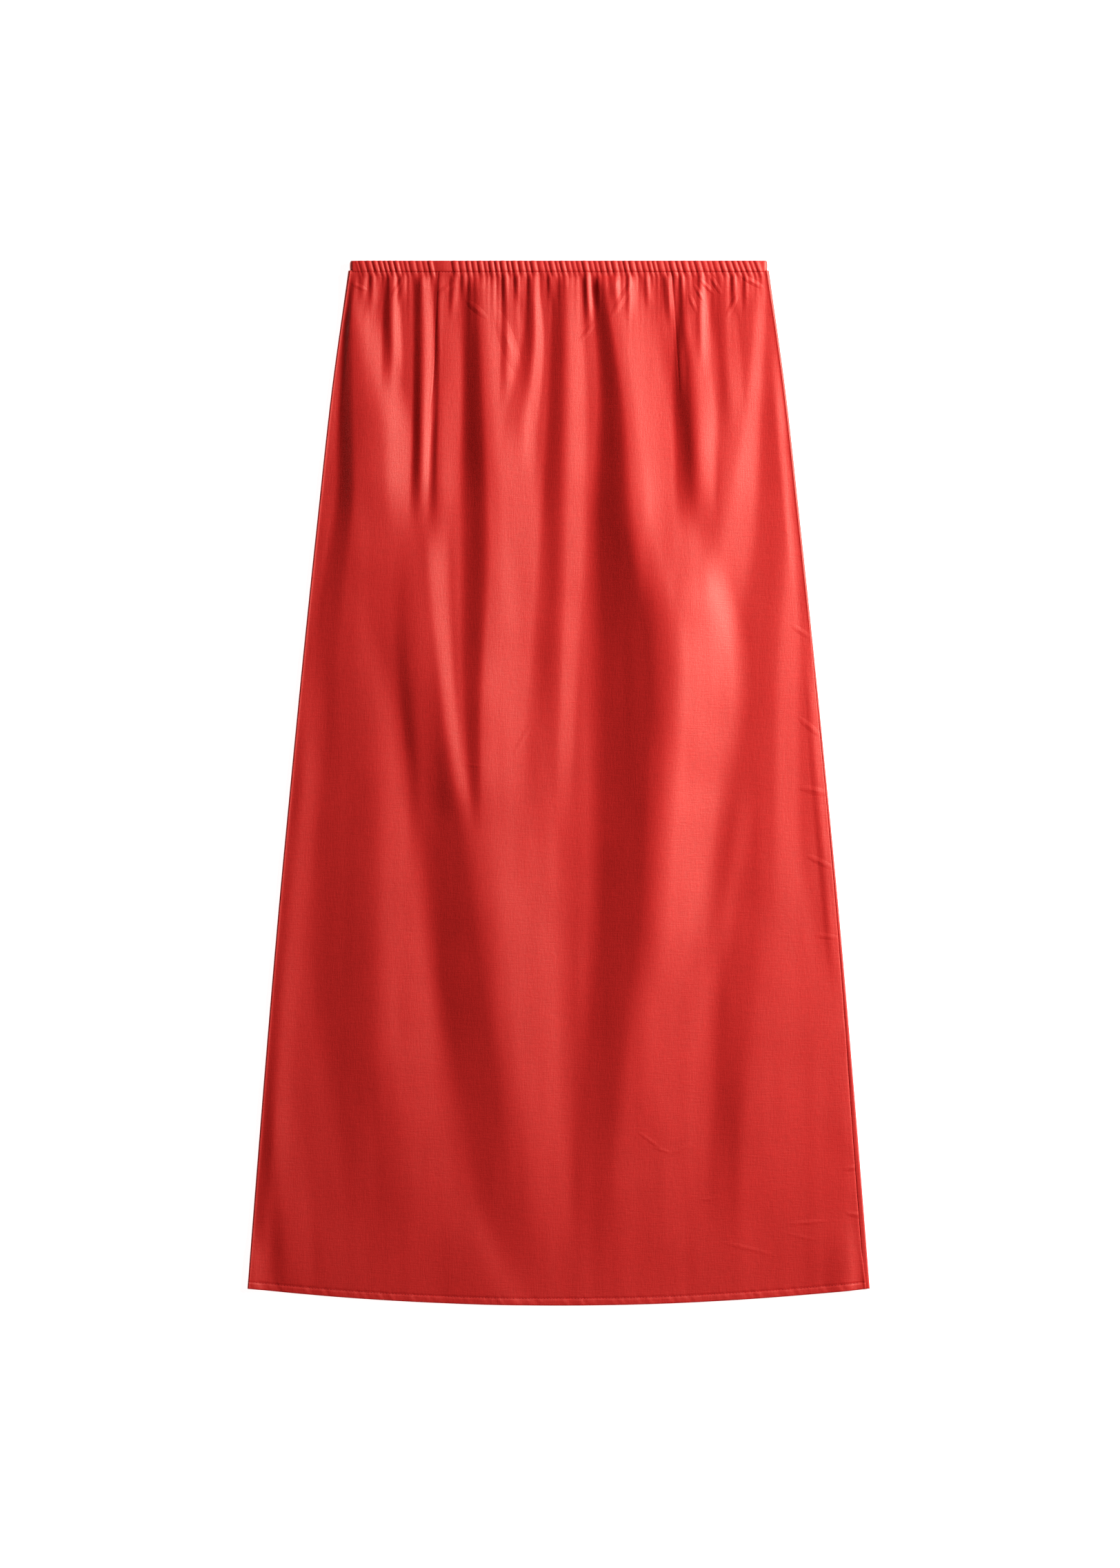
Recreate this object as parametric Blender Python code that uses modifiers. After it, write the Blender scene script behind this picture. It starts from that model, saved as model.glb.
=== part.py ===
"""Midi skirt, laid flat: two panels, an elastic waist casing and narrow turned hems.

Run with: blender --background --python part.py

World axes: X across the skirt, +Y towards the waist, +Z up from the surface it lies on.
Sizes below are in millimetres.  "Down" is the distance from the waist edge towards the hem.
"""
import math
from collections import namedtuple

import bmesh
import bpy
from mathutils import Vector

MM = 0.001

# Outline of the skirt as it lies.
LENGTH = 880.0          # waist edge to hem edge on the centre line
HEM_RISE = 14.5         # the hem sweeps up by this much at the side seams
# Half of the laid width at nine even steps from the waist edge to the hem's corner.
HALF_WIDTH = (176.0, 191.2, 203.2, 214.6, 225.3, 235.6, 245.0, 253.8, 262.3)
CORNER_DOWN = LENGTH - HEM_RISE

# Cloth.
CLOTH = 1.2             # wall of a single layer
HEM_CLOTH = 1.8         # the hem is turned double
HEM_DEPTH = 5.8
SEAM_GAP = 0.3          # clearance between pieces that are sewn together
REST = 2.2              # middle of the front's wall where it lies on the back

# Waist casing: a flattened tube on each side, with a ring of elastic inside.
CASING_HEIGHT = 9.6
CASING_THICK = 4.0
CASING_WALL = 1.0
CASING_HALF = 176.5     # half of the casing's laid width
ELASTIC_WIDTH = 6.0
ELASTIC_THICK = 0.8
CASING_BACK_Z = CASING_THICK / 2
CASING_FRONT_Z = CASING_BACK_Z + CASING_THICK + SEAM_GAP
CASING_ROLL = (CASING_FRONT_Z - CASING_BACK_Z) / 2
CASING_ROLL_X = CASING_HALF - CASING_THICK / 2 - CASING_ROLL

# The back panel rolls over each side and ends on top, where the side seam is.
PANEL_ROLL = 1.25       # radius of the roll, to the middle of the wall
WAIST_ROLL = (CASING_FRONT_Z - CLOTH / 2) / 2
WAIST_EASE = 70.0       # down to here the front eases from the casing's height
STRIP_MIN = 0.4         # flat of the back panel past the roll
# What shows of the back panel past the right-hand roll, at the steps of HALF_WIDTH.
RIGHT_STRIP = (0.0, 0.0, 0.0, 0.0, 0.2, 0.9, 1.8, 2.8, 3.2)

# Grids.
ROLL_STEPS = 5
BACK_COLUMNS = 6
ROWS = 28               # the front and the back share their rows, so their seams match
ROW_BIAS = 1.25         # above 1, rows are closer together near the waist
CASING_COLUMNS = 10
# Columns of the front panel run between these parts of its half width; the middle two are darts.
LEFT_DART = -0.57
RIGHT_DART = 0.535
FRONT_SPANS = ((-1.0, LEFT_DART, 12), (LEFT_DART, RIGHT_DART, 31), (RIGHT_DART, 1.0, 13))

Dart = namedtuple("Dart", "name at top length depth width")
DARTS = (
    Dart("left_dart", LEFT_DART, 10, 136, 1.0, 4.0),
    Dart("right_dart", RIGHT_DART, 10, 109, 0.8, 4.0),
)

# Folds of the front panel.  start and end are distances down; head and tail are the lengths
# over which a fold rises and dies away.  across, height, left and right are read at even
# steps along the fold: where its crest is, how high it stands, and how far it spreads.
Fold = namedtuple("Fold", "name start end head tail across height left right")
FOLDS = (
    Fold("main", 10, 880, 12, 100, (38, 63, 94, 84, 69, 41), (6, 14, 19, 17, 9, 3),
         (16, 42, 76, 70, 62, 52), (18, 30, 62, 55, 60, 58)),
    Fold("left_long", 36, 880, 30, 90, (-186, -144, -102, -62, -37, -12), (3, 12, 16, 13, 7, 2),
         (18, 58, 87, 76, 55, 46), (18, 52, 32, 76, 50, 35)),
    Fold("left_shoulder", 234, 880, 60, 120, (-162, -153, -146, -128), (3.5, 4.5, 6.5, 2),
         (46, 52, 64, 64), (18, 26, 46, 52)),
    Fold("left_mid", 10, 472, 12, 80, (-69, -57, -57, -64), (4, 9, 8.5, 3),
         (18, 26, 26, 20), (14, 44, 50, 58)),
    Fold("left_gather", 10, 239, 8, 60, (-115, -115, -114, -117), (3.5, 4.5, 4.5, 3.5),
         (10, 18, 18, 18), (8, 10, 10, 10)),
    Fold("left_tuck", 10, 257, 8, 60, (-101, -102, -98, -97), (3, 3, 4.5, 3.5),
         (5, 6, 8, 10), (10, 16, 15, 15)),
    Fold("centre", 10, 332, 8, 120, (4, 6, 1, -3), (3.5, 5, 3.5, 2),
         (12, 16, 16, 16), (12, 16, 20, 23)),
    Fold("right_tuck", 13, 245, 20, 50, (107, 114, 116, 117), (3, 6, 7, 5),
         (12, 20, 23, 23), (8, 12, 13, 15)),
    Fold("right_long", 10, 361, 20, 120, (164, 151, 123, 96), (4, 8, 7, 4),
         (23, 46, 46, 35), (10, 16, 36, 46)),
    Fold("right_side", 187, 880, 80, 120, (189, 182, 176, 168, 157), (3, 4, 4.5, 4, 2),
         (40, 40, 35, 40, 40), (23, 26, 30, 55, 64)),
)

RED = (0.66, 0.045, 0.036)
Finish = namedtuple("Finish", "colour roughness")
FINISHES = {
    "front_panel": Finish(RED, 0.75),
    "back_panel": Finish((0.60, 0.040, 0.032), 0.75),
    "front_casing": Finish((0.63, 0.042, 0.034), 0.75),
    "back_casing": Finish((0.57, 0.038, 0.030), 0.75),
    "front_hem": Finish((0.64, 0.043, 0.034), 0.75),
    "back_hem": Finish((0.58, 0.039, 0.031), 0.75),
    "waist_elastic": Finish((0.80, 0.78, 0.73), 0.85),
}


def along(values, t):
    """Smooth line through even steps, read at t from 0 to 1."""
    last = len(values) - 1
    place = min(max(t, 0.0), 1.0) * last
    i = min(int(place), last - 1)
    f = place - i
    b = values[i]
    c = values[i + 1]
    a = values[i - 1] if i > 0 else 2 * b - c
    d = values[i + 2] if i + 2 <= last else 2 * c - b
    curve = 2 * a - 5 * b + 4 * c - d + f * (3 * (b - c) + d - a)
    return b + 0.5 * f * (c - a + f * curve)


def ease(t):
    t = min(max(t, 0.0), 1.0)
    return t * t * (3 - 2 * t)


def half_width(down):
    return along(HALF_WIDTH, down / CORNER_DOWN)


def hem_line(x):
    """Distance down of the hem's edge."""
    return LENGTH - HEM_RISE * (x / HALF_WIDTH[-1]) ** 2


def roll_radius(down):
    return PANEL_ROLL + (WAIST_ROLL - PANEL_ROLL) * (1 - ease(down / WAIST_EASE))


def left_strip(down):
    return STRIP_MIN


def right_strip(down):
    return STRIP_MIN + along(RIGHT_STRIP, down / CORNER_DOWN)


def seams(down):
    """X of the left and right side seams, where the back panel ends on top."""
    roll = half_width(down) - CLOTH / 2 - roll_radius(down)
    return -roll + left_strip(down), roll - right_strip(down)


def fold_height(fold, x, down):
    t = (down - fold.start) / (fold.end - fold.start)
    if not 0 < t < 1:
        return 0.0
    offset = x - along(fold.across, t)
    reach = along(fold.left if offset < 0 else fold.right, t)
    if abs(offset) >= reach:
        return 0.0
    ends = ease((down - fold.start) / fold.head) * ease((fold.end - down) / fold.tail)
    return along(fold.height, t) * ends * (0.5 + 0.5 * math.cos(math.pi * offset / reach))


def dart_depth(dart, x, down):
    """A dart pulls the cloth in along its seam and runs out at its point."""
    line = dart.at * half_width(down)
    side = 1 - ease(abs(x - line) / dart.width)
    return dart.depth * side * (1 - ease((down - dart.top) / dart.length))


def front_height(x, down):
    """Height of the middle of the front panel's wall."""
    left, right = seams(down)
    rim = min(x - left, right - x)
    seam = CLOTH / 2 + 2 * roll_radius(down)
    settle = ease(rim / 25) * ease((down - CASING_HEIGHT) / 60) * ease((LENGTH - 10 - down) / 40)
    lift = sum(fold_height(fold, x, down) for fold in FOLDS) * ease(rim / 12)
    pull = sum(dart_depth(dart, x, down) for dart in DARTS)
    return seam + (REST - seam) * settle + max(lift - pull, 0.0)


def sheet(name, columns, rows, place, wall, weld=False, offset=0.0):
    """A grid bent by place(column, row), in mm, and given a wall by Solidify."""
    mesh = bpy.data.meshes.new(name)
    bm = bmesh.new()
    bmesh.ops.create_grid(bm, x_segments=columns, y_segments=rows, size=0.5)
    for vert in bm.verts:
        i = round((vert.co.x + 0.5) * columns)
        j = round((0.5 - vert.co.y) * rows)
        vert.co = Vector(place(i, j)) * MM
    if weld:
        bmesh.ops.remove_doubles(bm, verts=bm.verts, dist=0.00001)
        bmesh.ops.recalc_face_normals(bm, faces=bm.faces)
    bm.to_mesh(mesh)
    bm.free()
    piece = bpy.data.objects.new(name, mesh)
    solid = piece.modifiers.new("wall", "SOLIDIFY")
    solid.thickness = wall * MM
    solid.offset = offset
    solid.use_even_offset = True
    solid.use_rim = True
    finish = FINISHES[name]
    material = bpy.data.materials.new(name + "_cloth")
    material.use_nodes = True
    shader = material.node_tree.nodes["Principled BSDF"]
    shader.inputs["Base Color"].default_value = (*finish.colour, 1.0)
    shader.inputs["Roughness"].default_value = finish.roughness
    shader.inputs["Metallic"].default_value = 0.0
    mesh.materials.append(material)
    return piece


def front_columns():
    """Parts of the half width, from the left seam to the right one."""
    parts = [FRONT_SPANS[0][0]]
    for start, end, count in FRONT_SPANS:
        parts += [start + (end - start) * (k + 1) / count for k in range(count)]
    return parts


def on_front(part, t, top, bottom):
    """Point of the front at a part of its half width, t of the way from top to bottom."""
    down = top + t * (bottom(0.0) - top)
    for _ in range(2):
        left, right = seams(down)
        left += SEAM_GAP
        right -= SEAM_GAP
        x = (left + right) / 2 + part * (right - left) / 2
        down = top + t * (bottom(x) - top)
    return x, LENGTH / 2 - down, front_height(x, down)


def around_back(down, floor, wall):
    """Section of the back: left strip, left roll, flat, right roll, right strip."""
    seam_z = CLOTH / 2 + 2 * roll_radius(down)
    radius = (seam_z - floor) / 2
    centre = half_width(down) - wall / 2 - radius
    left, right = seams(down)
    points = [(left, seam_z)]
    for k in range(ROLL_STEPS + 1):
        turn = math.pi * k / ROLL_STEPS
        points.append((-centre - radius * math.sin(turn), floor + radius + radius * math.cos(turn)))
    for k in range(1, BACK_COLUMNS):
        points.append((-centre + 2 * centre * k / BACK_COLUMNS, floor))
    for k in range(ROLL_STEPS + 1):
        turn = math.pi * k / ROLL_STEPS
        points.append((centre + radius * math.sin(turn), floor + radius - radius * math.cos(turn)))
    points.append((right, seam_z))
    return points


def on_back(i, t, top, bottom, wall):
    down = top + t * (bottom(0.0) - top)
    for _ in range(2):
        x, z = around_back(down, wall / 2, wall)[i]
        down = top + t * (bottom(x) - top)
    return x, LENGTH / 2 - down, z


def casing_section():
    """Rounded section of the casing: (towards the waist edge, out from its middle)."""
    tall = CASING_HEIGHT / 2
    thick = CASING_THICK / 2
    quarter = ((tall, thick * 0.35), (tall - 1.5, thick))
    ring = [quarter[0], quarter[1]]
    ring += [(-y, n) for y, n in reversed(quarter)]
    ring += [(-y, -n) for y, n in quarter]
    ring += [(y, -n) for y, n in reversed(quarter)]
    return ring + [ring[0]]


def casing_roll(side, down_to_up):
    """Points and outward normals of the roll at one side of the casing."""
    middle = (CASING_BACK_Z + CASING_FRONT_Z) / 2
    points = []
    for k in range(ROLL_STEPS + 2):
        turn = math.pi * k / (ROLL_STEPS + 1)
        normal = (side * math.sin(turn), -math.cos(turn))
        x = side * CASING_ROLL_X + CASING_ROLL * normal[0]
        points.append(((x, middle + CASING_ROLL * normal[1]), normal))
    return points if down_to_up else list(reversed(points))


def casing_runs():
    """Middle line of the back casing and of the front one, with normals."""
    back = casing_roll(-1, False)
    for k in range(1, CASING_COLUMNS):
        x = -CASING_ROLL_X + 2 * CASING_ROLL_X * k / CASING_COLUMNS
        back.append(((x, CASING_BACK_Z), (0.0, -1.0)))
    back += casing_roll(1, True)
    front = []
    end = CASING_ROLL_X - SEAM_GAP
    for k in range(CASING_COLUMNS + 1):
        front.append(((end - 2 * end * k / CASING_COLUMNS, CASING_FRONT_Z), (0.0, 1.0)))
    return back, front


def casing_point(line, section, i, j):
    (x, z), (nx, nz) = line[i]
    y, out = section[j]
    waist = LENGTH / 2 - CASING_HEIGHT / 2
    return x + nx * out, waist + y, z + nz * out


def build():
    for old in list(bpy.data.objects):
        bpy.data.objects.remove(old, do_unlink=True)

    below_casing = CASING_HEIGHT + SEAM_GAP

    def panel_foot(x):
        return hem_line(x) - HEM_DEPTH - SEAM_GAP

    parts = front_columns()
    back_count = 2 * (ROLL_STEPS + 1) + BACK_COLUMNS

    def front_point(i, j):
        return on_front(parts[i], (j / ROWS) ** ROW_BIAS, below_casing, panel_foot)

    def back_point(i, j):
        return on_back(i, (j / ROWS) ** ROW_BIAS, below_casing, panel_foot, CLOTH)

    def front_hem_point(i, j):
        x, y, z = on_front(parts[i], 1.0, below_casing, panel_foot)
        return x, y - SEAM_GAP - j * HEM_DEPTH, z

    def back_hem_point(i, j):
        x, y, z = on_back(i, 1.0, below_casing, panel_foot, HEM_CLOTH)
        return x, y - SEAM_GAP - j * HEM_DEPTH, z

    back_line, front_line = casing_runs()
    section = casing_section()
    ring = back_line + front_line + [back_line[0]]

    def back_casing_point(i, j):
        return casing_point(back_line, section, i, j)

    def front_casing_point(i, j):
        return casing_point(front_line, section, i, j)

    def elastic_point(i, j):
        (x, z), _ = ring[i]
        middle = LENGTH / 2 - CASING_HEIGHT / 2
        return x, middle + ELASTIC_WIDTH * (0.5 - j), z

    pieces = [
        sheet("front_panel", len(parts) - 1, ROWS, front_point, CLOTH),
        sheet("back_panel", back_count, ROWS, back_point, CLOTH),
        sheet("front_casing", len(front_line) - 1, len(section) - 1, front_casing_point,
              CASING_WALL, weld=True, offset=-1.0),
        sheet("back_casing", len(back_line) - 1, len(section) - 1, back_casing_point,
              CASING_WALL, weld=True, offset=-1.0),
        sheet("waist_elastic", len(ring) - 1, 1, elastic_point, ELASTIC_THICK, weld=True),
        sheet("front_hem", len(parts) - 1, 1, front_hem_point, HEM_CLOTH),
        sheet("back_hem", back_count, 1, back_hem_point, HEM_CLOTH),
    ]
    skirt = bpy.data.collections.new("midi_skirt")
    bpy.context.scene.collection.children.link(skirt)
    for piece in pieces:
        skirt.objects.link(piece)


build()
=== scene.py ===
"""Midi skirt, laid flat on a pale floor: cloth shells, gathers, casing, seams, stitches and looks.

Sizes are in millimetres until a mesh is made.  X is across, "down" is the distance from the
waist edge towards the hem, and Z is up from the floor.
"""
import math
from collections import namedtuple

import bpy
import numpy as np
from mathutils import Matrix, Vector


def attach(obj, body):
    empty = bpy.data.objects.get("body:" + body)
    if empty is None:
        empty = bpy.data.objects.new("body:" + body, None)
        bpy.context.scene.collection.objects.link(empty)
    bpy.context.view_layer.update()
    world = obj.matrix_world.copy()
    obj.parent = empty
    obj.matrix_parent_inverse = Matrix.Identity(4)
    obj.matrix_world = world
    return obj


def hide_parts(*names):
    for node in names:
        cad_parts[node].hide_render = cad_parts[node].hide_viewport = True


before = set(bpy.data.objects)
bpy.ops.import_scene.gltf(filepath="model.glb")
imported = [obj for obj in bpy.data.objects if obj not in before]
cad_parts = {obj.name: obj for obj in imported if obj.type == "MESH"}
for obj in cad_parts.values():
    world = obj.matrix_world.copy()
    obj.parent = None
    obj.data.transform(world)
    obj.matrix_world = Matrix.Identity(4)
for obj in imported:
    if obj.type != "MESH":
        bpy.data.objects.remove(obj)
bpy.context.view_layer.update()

MM = 0.001
LENGTH = 880.0
HEM_RISE = 14.5         # the hem's corners are this much nearer the waist than its middle
CORNER_DOWN = LENGTH - HEM_RISE
# Half the outline's width, at nine even steps from the waist to the corners of the hem.
HALF_WIDTH = (176.0, 191.2, 203.2, 214.6, 225.3, 235.6, 245.0, 253.8, 262.3)
CLOTH = 0.35            # thickness of the cloth shells
HEM_DEPTH = 5.8         # from the hem's edge up to its stitches
HEM_TURN = 0.45         # radius of the turn at the hem's edge
CASING_HEIGHT = 9.6
PANEL_TOP = 8.4         # top edge of both panels, hidden in the casing

# Stitches.
STITCH_DOWN = 9.9       # row of stitches under the casing
BACK_STITCH_DOWN = 10.5
STITCH_PITCH = 2.6
STITCH_SHARE = 0.66     # part of the pitch that a thread covers
STITCH_ARCH = 0.12
THREAD_RADIUS = 0.20
WAIST_ROW_END = 171.5
HEM_ROW_END = 257.5
HEM_ROW_RIGHT = 253.5   # on the front, where the strip of the back begins

# Heights of the middle of the cloth.
BACK_LOW = 0.2          # back cloth on the floor
BACK_WAIST = 2.0        # back cloth at the casing
FRONT_LOW = 1.5         # front cloth where it lies on the back
FRONT_SEAM = 2.6        # front cloth at the side seams
FRONT_WAIST = 5.7       # front cloth at the casing
CASING_FRONT_Z = 6.2
CASING_BACK_Z = 2.05
WAIST_SLOPE = 60.0      # the cloth comes down from the casing over this length

# What shows of the back past the right-hand roll, at nine even steps down.
RIGHT_STRIP = (0.3, 0.3, 0.3, 0.3, 0.5, 1.1, 2.0, 3.2, 3.4)

# A fold runs from start to end, and dies away over its head and its tail.  The rest is at
# even steps from start to end: X of the crest, its height, and the reach of either side.
Fold = namedtuple("Fold", "start end head tail across height left right")
FOLDS = {
    "main": Fold(
        10, 880, 12, 100, (38, 56, 66, 92, 87, 80, 63, 50, 41),
        (4.0, 7.4, 12.8, 16.8, 14.4, 11.3, 7.8, 3.8, 1.2), (12, 24, 42, 70, 63, 57, 50, 42, 40),
        (36, 46, 64, 71, 61, 58, 72, 78, 62)),
    "main_top": Fold(190, 340, 50, 60, (100, 104, 110), (1.4, 3.0, 2.0), (26, 34, 34), (34, 44, 50)),
    "left_base": Fold(
        150, 880, 60, 100, (-104, -96, -76, -56, -38, -20), (1.4, 4.8, 8.8, 9.4, 5.2, 1.2),
        (80, 70, 58, 58, 48, 40), (40, 75, 90, 70, 52, 46)),
    "left_upper": Fold(
        30, 244, 30, 60, (-173, -162, -150, -148, -140), (0.9, 2.5, 4.4, 4.2, 2.8),
        (12, 24, 42, 52, 56), (16, 24, 29, 27, 22)),
    "left_long": Fold(
        200, 480, 60, 40, (-116, -111, -104, -95, -81), (3.8, 4.2, 3.8, 3.1, 1.6),
        (90, 72, 50, 36, 24), (24, 21, 17, 15, 12)),
    "left_rise": Fold(
        230, 500, 60, 60, (-126, -127, -123, -117, -112), (0.3, 0.8, 1.1, 1.0, 0.5),
        (14, 15, 12, 12, 12), (22, 24, 20, 18, 16)),
    "left_step": Fold(
        10, 480, 12, 140, (-174, -172.5, -171, -180, -186, -190), (1.4, 3.2, 4.0, 3.0, 1.6, 0.4),
        (8, 15, 18, 26, 28, 26), (12, 42, 62, 56, 48, 42)),
    "left_shoulder": Fold(
        170, 880, 100, 120, (-168, -160, -152, -152, -151, -133, -110),
        (1.2, 2.8, 4.8, 5.4, 5.2, 3, 1), (30, 48, 56, 58, 56, 56, 50), (50, 58, 50, 50, 54, 50, 50)),
    "left_edge": Fold(
        330, 850, 120, 60, (-213, -226, -238, -249, -258), (0.5, 0.7, 1.0, 1.1, 0.8), (8, 8, 8, 8, 8),
        (26, 28, 30, 32, 30)),
    "left_mid": Fold(
        10, 490, 12, 60, (-68, -61, -57, -64, -64), (3.2, 7.3, 7.4, 4.4, 1.6), (14, 22, 27, 18, 8),
        (17, 41, 52, 50, 44)),
    "left_gather": Fold(
        10, 232, 10, 60, (-115, -114.5, -115.5, -117), (2.2, 3.0, 3.4, 2.2), (8, 9, 9, 10),
        (9, 12, 11, 10)),
    "left_tuck": Fold(
        10, 245, 10, 60, (-101, -99.5, -101.5, -100), (0.7, 1.9, 2.3, 1.0), (5, 6, 8, 12),
        (10, 21, 20, 17)),
    "centre": Fold(
        10, 490, 10, 90, (6, 5.5, 3, -1, -5), (2.5, 3.6, 3.0, 2.5, 2.0), (12, 17, 22, 28, 36),
        (14, 21, 21, 18, 15)),
    "right_tuck": Fold(
        13, 240, 20, 60, (112, 113, 115, 117), (1.5, 4.4, 5.4, 3.4), (8, 18, 19, 20), (13, 24, 20, 16)),
    "right_hump": Fold(
        60, 420, 60, 120, (124, 126, 128, 130), (2.0, 3.3, 1.5, 0.6), (50, 50, 50, 50),
        (40, 48, 55, 50)),
    "right_long": Fold(
        10, 361, 20, 120, (168, 155, 133, 110), (1.3, 2.8, 3.4, 2.2), (36, 46, 34, 30),
        (10, 17, 34, 46)),
    "right_side": Fold(
        60, 880, 60, 120, (183, 188, 190, 182, 180, 178, 170, 162, 155, 150),
        (1.0, 1.5, 2.2, 2.9, 3.1, 3.1, 3.8, 4.2, 2.4, 0.8), (8, 18, 30, 46, 60, 58, 46, 38, 36, 40),
        (8, 10, 17, 24, 25, 31, 66, 84, 70, 60)),
    "right_low": Fold(430, 660, 60, 70, (158, 136, 112), (0.9, 1.3, 1.0), (20, 20, 20), (16, 16, 18)),
    "foot": Fold(780, 880, 50, 1, (-82, -68, -50), (0.9, 1.3, 1.5), (50, 50, 50), (14, 20, 32)),
    "foot_left": Fold(690, 878, 60, 30, (-240, -234, -226), (0.9, 1.3, 1.0), (14, 14, 14), (22, 26, 24)),
    "corner_right": Fold(800, 880, 50, 1, (244, 240), (0.8, 1.5), (20, 20), (14, 18)),
    "right_rim": Fold(
        320, 640, 60, 90, (212, 220, 229, 238), (1.0, 1.5, 1.5, 1.0), (8, 9, 9, 8), (7, 7, 7, 7)),
}


def gather(end, tail, across, height, left, right):
    """A short fold that starts at the stitches under the casing."""
    start, head = 9, 8
    return Fold(start, end, head, tail, across, height, left, right)


GATHERS = (
    gather(40, 18, (-165, -165, -166), (0.7, 0.8, 0.4), (4, 4, 4), (4, 5, 5)),
    gather(50, 22, (-156, -157, -159), (1.1, 1.2, 0.5), (4, 6, 6), (5, 6, 6)),
    gather(118, 40, (-141, -141, -140.5, -141), (1.2, 2.3, 2.3, 1.2), (5, 8, 9, 9), (5, 9, 10, 10)),
    gather(40, 15, (-131, -132, -134), (0.9, 0.9, 0.4), (4, 4, 4), (4, 5, 5)),
    gather(52, 20, (-88, -89, -90), (1.0, 1.1, 0.5), (4, 4, 4), (4, 5, 5)),
    gather(34, 14, (-80, -80, -80), (0.8, 0.7, 0.4), (4, 4, 4), (4, 4, 4)),
    gather(135, 50, (-45, -43, -43, -43), (0.9, 1.4, 1.4, 0.7), (4, 6, 7, 8), (5, 15, 19, 16)),
    gather(40, 16, (-33, -34, -33), (0.9, 0.9, 0.4), (4, 4, 4), (4, 5, 5)),
    gather(190, 80, (-22, -21, -29, -34), (1.3, 2.3, 2.3, 1.2), (5, 11, 18, 20), (5, 10, 14, 14)),
    gather(38, 16, (-7, -6, -6), (1.0, 1.0, 0.4), (3, 4, 4), (4, 4, 4)),
    gather(62, 25, (23, 25, 27), (1.2, 1.3, 0.6), (4, 5, 6), (4, 5, 5)),
    gather(46, 20, (47, 48, 50), (1.0, 1.0, 0.4), (4, 5, 5), (4, 5, 5)),
    gather(54, 22, (60, 60, 58), (1.0, 1.0, 0.4), (4, 5, 5), (4, 5, 5)),
    gather(44, 18, (73, 75, 77), (0.9, 0.9, 0.4), (4, 5, 5), (4, 5, 5)),
    gather(60, 25, (91, 93, 95), (1.2, 1.2, 0.5), (4, 5, 5), (4, 5, 5)),
    gather(84, 25, (104, 105.5, 107), (0.9, 1.3, 1.0), (4, 7, 8), (4, 6, 6)),
    gather(100, 40, (119, 119.5, 121), (0.8, 1.0, 0.7), (4, 5, 6), (5, 9, 10)),
    gather(160, 55, (137, 139, 143, 146), (0.9, 1.3, 1.3, 0.5), (7, 16, 14, 12), (6, 14, 14, 13)),
    gather(50, 22, (148, 148, 150), (1.0, 1.1, 0.5), (4, 5, 5), (4, 6, 6)),
    gather(44, 20, (158, 158, 157), (0.7, 0.7, 0.4), (4, 4, 4), (4, 4, 4)),
    gather(48, 20, (33, 34, 35), (0.4, 0.5, 0.2), (3, 4, 5), (5, 6, 6)),
)


def back_fold(end, tail, across, height, left, right):
    """The back is not in the photo: it has a few folds like the front's, but shallow."""
    start, head = 10, 20
    return Fold(start, end, head, tail, across, height, left, right)


BACK_FOLDS = (
    back_fold(700, 160, (-120, -110, -120, -140), (1.2, 0.9, 0.7, 0.3), (14, 40, 50, 50), (14, 34, 50, 50)),
    back_fold(560, 160, (-52, -66, -60, -70), (1.2, 0.8, 0.7, 0.3), (12, 34, 44, 44), (12, 40, 44, 44)),
    back_fold(780, 200, (20, 8, 22, 30), (1.3, 0.9, 0.7, 0.4), (14, 40, 60, 60), (14, 44, 50, 60)),
    back_fold(480, 160, (84, 96, 90, 86), (1.2, 0.9, 0.6, 0.3), (12, 36, 40, 44), (12, 30, 44, 44)),
    back_fold(640, 160, (140, 134, 150, 160), (1.2, 0.8, 0.6, 0.3), (12, 34, 50, 50), (12, 34, 40, 40)),
)

# The tables' heights are scaled by these, set by comparing the shading with the photo's.
FOLD_FULLNESS = 0.9
GATHER_FULLNESS = 1.15

# Seam of the left and the right dart, at even steps from its top to its point.
Dart = namedtuple("Dart", "end across depth")
DART_TOP = 9
DARTS = (
    Dart(147, (-101.5, -103.5, -105.5, -110.5), (0.24, 0.26, 0.2, 0.08)),
    Dart(120, (95.5, 98.0, 100.5, 102.0), (0.2, 0.22, 0.2, 0.08)),
)


# ---- curves and noise ---------------------------------------------------------------------

def along(values, t):
    """Smooth line through even steps, read at t from 0 to 1."""
    p = np.asarray(values, dtype=float)
    last = len(p) - 1
    place = np.clip(t, 0.0, 1.0) * last
    i = np.minimum(place.astype(int), last - 1)
    f = place - i
    q = np.concatenate([[2 * p[0] - p[1]], p, [2 * p[-1] - p[-2]]])
    a, b, c, d = q[i], q[i + 1], q[i + 2], q[i + 3]
    curve = 2 * a - 5 * b + 4 * c - d + f * (3 * (b - c) + d - a)
    return b + 0.5 * f * (c - a + f * curve)


def ease(t):
    """From 0 to 1 as t does, flat at both ends."""
    t = np.clip(t, 0.0, 1.0)
    return t * t * (3 - 2 * t)


def fade_in(value, over, start=0.0):
    """0 up to start, and 1 from there plus over."""
    return ease((value - start) / over)


def fade_out(value, over, end):
    """1 up to over before the end, and 0 from the end."""
    return ease((end - value) / over)


def bell(off, wide):
    """1 in the middle, and nearly 0 at twice its width."""
    return np.exp(-(off / wide) ** 2)


def half_circle(share):
    """Angle of a half turn, where share goes from 0 to 1."""
    return np.pi * np.clip(share, 0, 1)


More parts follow.
